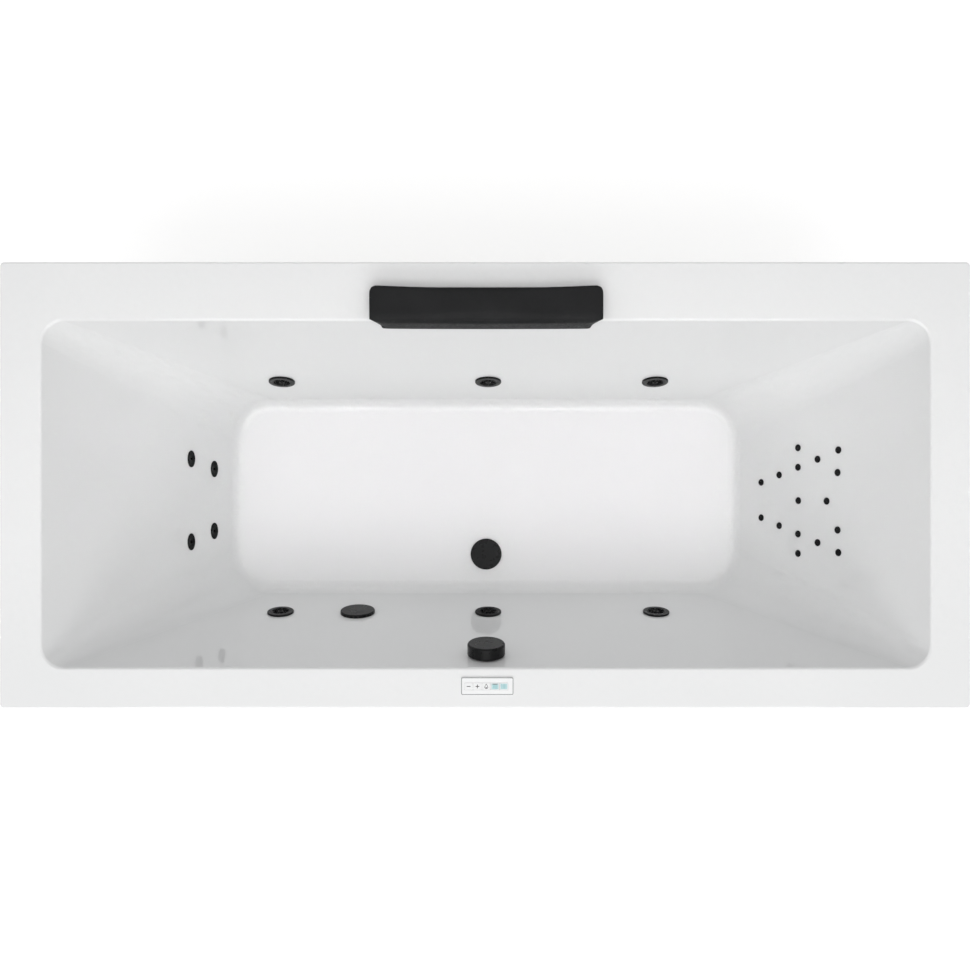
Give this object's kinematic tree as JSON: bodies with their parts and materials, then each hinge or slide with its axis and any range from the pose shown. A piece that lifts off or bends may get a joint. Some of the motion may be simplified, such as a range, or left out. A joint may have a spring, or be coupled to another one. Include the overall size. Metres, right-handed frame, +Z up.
{
  "type": "jetted bathtub",
  "caption": "Rectangular built-in jetted bathtub with sloping ends, side, back and micro jets, turn-knob overflow waste, touch keypad, headrest, pump, blower, pipework and carrying frame.",
  "frame": {"origin": "middle of the bath's footprint, on the floor that the feet stand on", "axes": "+X along the bath towards the micro jets' end, +Y across the bath towards the headrest, +Z up"},
  "size_m": [1.85, 0.85, 0.655],
  "materials": {
    "acrylic_white": "gloss",
    "fitting_black": "satin",
    "pipe_white": "satin",
    "pipe_clear_grey": "satin",
    "frame_steel": "satin",
    "zinc_steel": "satin",
    "board": "matte",
    "motor_aluminium": "satin",
    "machine_black": "matte",
    "keypad_white": "gloss",
    "box_grey": "matte",
    "headrest_skin": "matte"
  },
  "bodies": {
    "tub": {"air_pipework": "pipe_clear_grey", "back_jet_chamber": "pipe_white", "back_jets": "fitting_black", "base_board": "board", "blower_housing": "machine_black", "control_box": "box_grey", "drain_body": "pipe_white", "drain_flange": "fitting_black", "drain_trap": "pipe_white", "foot_nuts": "zinc_steel", "frame_crossbar_left": "frame_steel", "frame_crossbar_right": "frame_steel", "frame_rail_front": "frame_steel", "frame_rail_rear": "frame_steel", "front_clamp_rings": "fitting_black", "keypad_body": "keypad_white", "micro_jet_chamber": "pipe_white", "micro_jets": "fitting_black", "overflow_body": "pipe_white", "overflow_hose": "pipe_clear_grey", "plug_cable": "machine_black", "pump_fan_cover": "machine_black", "pump_foot": "machine_black", "pump_motor_casing": "motor_aluminium", "pump_volute": "machine_black", "rim_posts": "frame_steel", "side_jet_bodies": "pipe_white", "suction_body": "pipe_white", "suction_cover": "fitting_black", "suction_pipe": "pipe_white", "tub_shell": "acrylic_white", "water_pipework": "pipe_white"},
    "ring_rear_left": {"side_jet_ring_rear_left": "fitting_black"},
    "nozzle_rear_left": {"side_jet_nozzle_rear_left": "fitting_black"},
    "ring_rear_middle": {"side_jet_ring_rear_middle": "fitting_black"},
    "nozzle_rear_middle": {"side_jet_nozzle_rear_middle": "fitting_black"},
    "ring_rear_right": {"side_jet_ring_rear_right": "fitting_black"},
    "nozzle_rear_right": {"side_jet_nozzle_rear_right": "fitting_black"},
    "ring_front_left": {"side_jet_ring_front_left": "fitting_black"},
    "nozzle_front_left": {"side_jet_nozzle_front_left": "fitting_black"},
    "ring_front_middle": {"side_jet_ring_front_middle": "fitting_black"},
    "nozzle_front_middle": {"side_jet_nozzle_front_middle": "fitting_black"},
    "ring_front_right": {"side_jet_ring_front_right": "fitting_black"},
    "nozzle_front_right": {"side_jet_nozzle_front_right": "fitting_black"},
    "knob": {"overflow_knob": "fitting_black"},
    "plug": {"drain_plug": "fitting_black"},
    "pump_rotor": {"pump_shaft": "zinc_steel", "pump_impeller": "machine_black", "pump_cooling_fan": "machine_black"},
    "blower_rotor": {"blower_fan": "machine_black"},
    "button_minus": {"button_minus": "keypad_white"},
    "button_plus": {"button_plus": "keypad_white"},
    "button_clean": {"button_clean": "keypad_white"},
    "button_air": {"button_air": "keypad_white"},
    "button_water": {"button_water": "keypad_white"},
    "foot_front_left": {"levelling_foot_front_left": "zinc_steel"},
    "foot_front_right": {"levelling_foot_front_right": "zinc_steel"},
    "foot_rear_left": {"levelling_foot_rear_left": "zinc_steel"},
    "foot_rear_right": {"levelling_foot_rear_right": "zinc_steel"},
    "headrest": {"headrest_cushion": "headrest_skin"}
  },
  "joints": [
    {"name": "ring_turn_rear_left", "type": "hinge", "parent": "tub", "child": "ring_rear_left", "pos_m": [-0.448, 0.2295, 0.305], "axis": [0, -0.9662, 0.2577], "range_deg": [0, 90]},
    {"name": "nozzle_aim_rear_left", "type": "hinge", "parent": "ring_rear_left", "child": "nozzle_rear_left", "pos_m": [-0.448, 0.23916, 0.30242], "axis": [1, 0, 0], "range_deg": [-12, 12]},
    {"name": "ring_turn_rear_middle", "type": "hinge", "parent": "tub", "child": "ring_rear_middle", "pos_m": [0.007, 0.2295, 0.305], "axis": [0, -0.9662, 0.2577], "range_deg": [0, 90]},
    {"name": "nozzle_aim_rear_middle", "type": "hinge", "parent": "ring_rear_middle", "child": "nozzle_rear_middle", "pos_m": [0.007, 0.23916, 0.30242], "axis": [1, 0, 0], "range_deg": [-12, 12]},
    {"name": "ring_turn_rear_right", "type": "hinge", "parent": "tub", "child": "ring_rear_right", "pos_m": [0.375, 0.2295, 0.305], "axis": [0, -0.9662, 0.2577], "range_deg": [0, 90]},
    {"name": "nozzle_aim_rear_right", "type": "hinge", "parent": "ring_rear_right", "child": "nozzle_rear_right", "pos_m": [0.375, 0.23916, 0.30242], "axis": [1, 0, 0], "range_deg": [-12, 12]},
    {"name": "ring_turn_front_left", "type": "hinge", "parent": "tub", "child": "ring_front_left", "pos_m": [-0.448, -0.27983, 0.32], "axis": [0, 0.9748, 0.2231], "range_deg": [0, 90]},
    {"name": "nozzle_aim_front_left", "type": "hinge", "parent": "ring_front_left", "child": "nozzle_front_left", "pos_m": [-0.448, -0.28958, 0.31777], "axis": [-1, 0, 0], "range_deg": [-12, 12]},
    {"name": "ring_turn_front_middle", "type": "hinge", "parent": "tub", "child": "ring_front_middle", "pos_m": [0.007, -0.27983, 0.32], "axis": [0, 0.9748, 0.2231], "range_deg": [0, 90]},
    {"name": "nozzle_aim_front_middle", "type": "hinge", "parent": "ring_front_middle", "child": "nozzle_front_middle", "pos_m": [0.007, -0.28958, 0.31777], "axis": [-1, 0, 0], "range_deg": [-12, 12]},
    {"name": "ring_turn_front_right", "type": "hinge", "parent": "tub", "child": "ring_front_right", "pos_m": [0.375, -0.27983, 0.32], "axis": [0, 0.9748, 0.2231], "range_deg": [0, 90]},
    {"name": "nozzle_aim_front_right", "type": "hinge", "parent": "ring_front_right", "child": "nozzle_front_right", "pos_m": [0.375, -0.28958, 0.31777], "axis": [-1, 0, 0], "range_deg": [-12, 12]},
    {"name": "knob_turn", "type": "hinge", "parent": "tub", "child": "knob", "pos_m": [0.0025, -0.33477, 0.56], "axis": [0, 0.9748, 0.2231], "range_deg": [0, 110]},
    {"name": "plug_lift", "type": "slide", "parent": "tub", "child": "plug", "axis": [0, 0, 1], "range_m": [0, 0.012]},
    {"name": "pump_spin", "type": "hinge", "parent": "tub", "child": "pump_rotor", "pos_m": [-0.83, 0, 0.225], "axis": [0, 1, 0], "continuous": true},
    {"name": "blower_spin", "type": "hinge", "parent": "tub", "child": "blower_rotor", "pos_m": [0.83, 0, 0.2], "axis": [0, 0, 1], "continuous": true},
    {"name": "press_minus", "type": "slide", "parent": "tub", "child": "button_minus", "axis": [0, 0, -1], "range_m": [0, 0.0006], "stiffness_N_per_m": 800},
    {"name": "press_plus", "type": "slide", "parent": "tub", "child": "button_plus", "axis": [0, 0, -1], "range_m": [0, 0.0006], "stiffness_N_per_m": 800},
    {"name": "press_clean", "type": "slide", "parent": "tub", "child": "button_clean", "axis": [0, 0, -1], "range_m": [0, 0.0006], "stiffness_N_per_m": 800},
    {"name": "press_air", "type": "slide", "parent": "tub", "child": "button_air", "axis": [0, 0, -1], "range_m": [0, 0.0006], "stiffness_N_per_m": 800},
    {"name": "press_water", "type": "slide", "parent": "tub", "child": "button_water", "axis": [0, 0, -1], "range_m": [0, 0.0006], "stiffness_N_per_m": 800},
    {"name": "foot_height_front_left", "type": "slide", "parent": "tub", "child": "foot_front_left", "axis": [0, 0, 1], "range_m": [-0.03, 0.03]},
    {"name": "foot_height_front_right", "type": "slide", "parent": "tub", "child": "foot_front_right", "axis": [0, 0, 1], "range_m": [-0.03, 0.03]},
    {"name": "foot_height_rear_left", "type": "slide", "parent": "tub", "child": "foot_rear_left", "axis": [0, 0, 1], "range_m": [-0.03, 0.03]},
    {"name": "foot_height_rear_right", "type": "slide", "parent": "tub", "child": "foot_rear_right", "axis": [0, 0, 1], "range_m": [-0.03, 0.03]},
    {"name": "headrest_lift", "type": "slide", "parent": "tub", "child": "headrest", "axis": [0, 0, 1], "range_m": [0, 0.08]}
  ],
  "couplings": [
    {"joint": "plug_lift", "follows": "knob_turn", "m_per_rad": 0.00625}
  ]
}
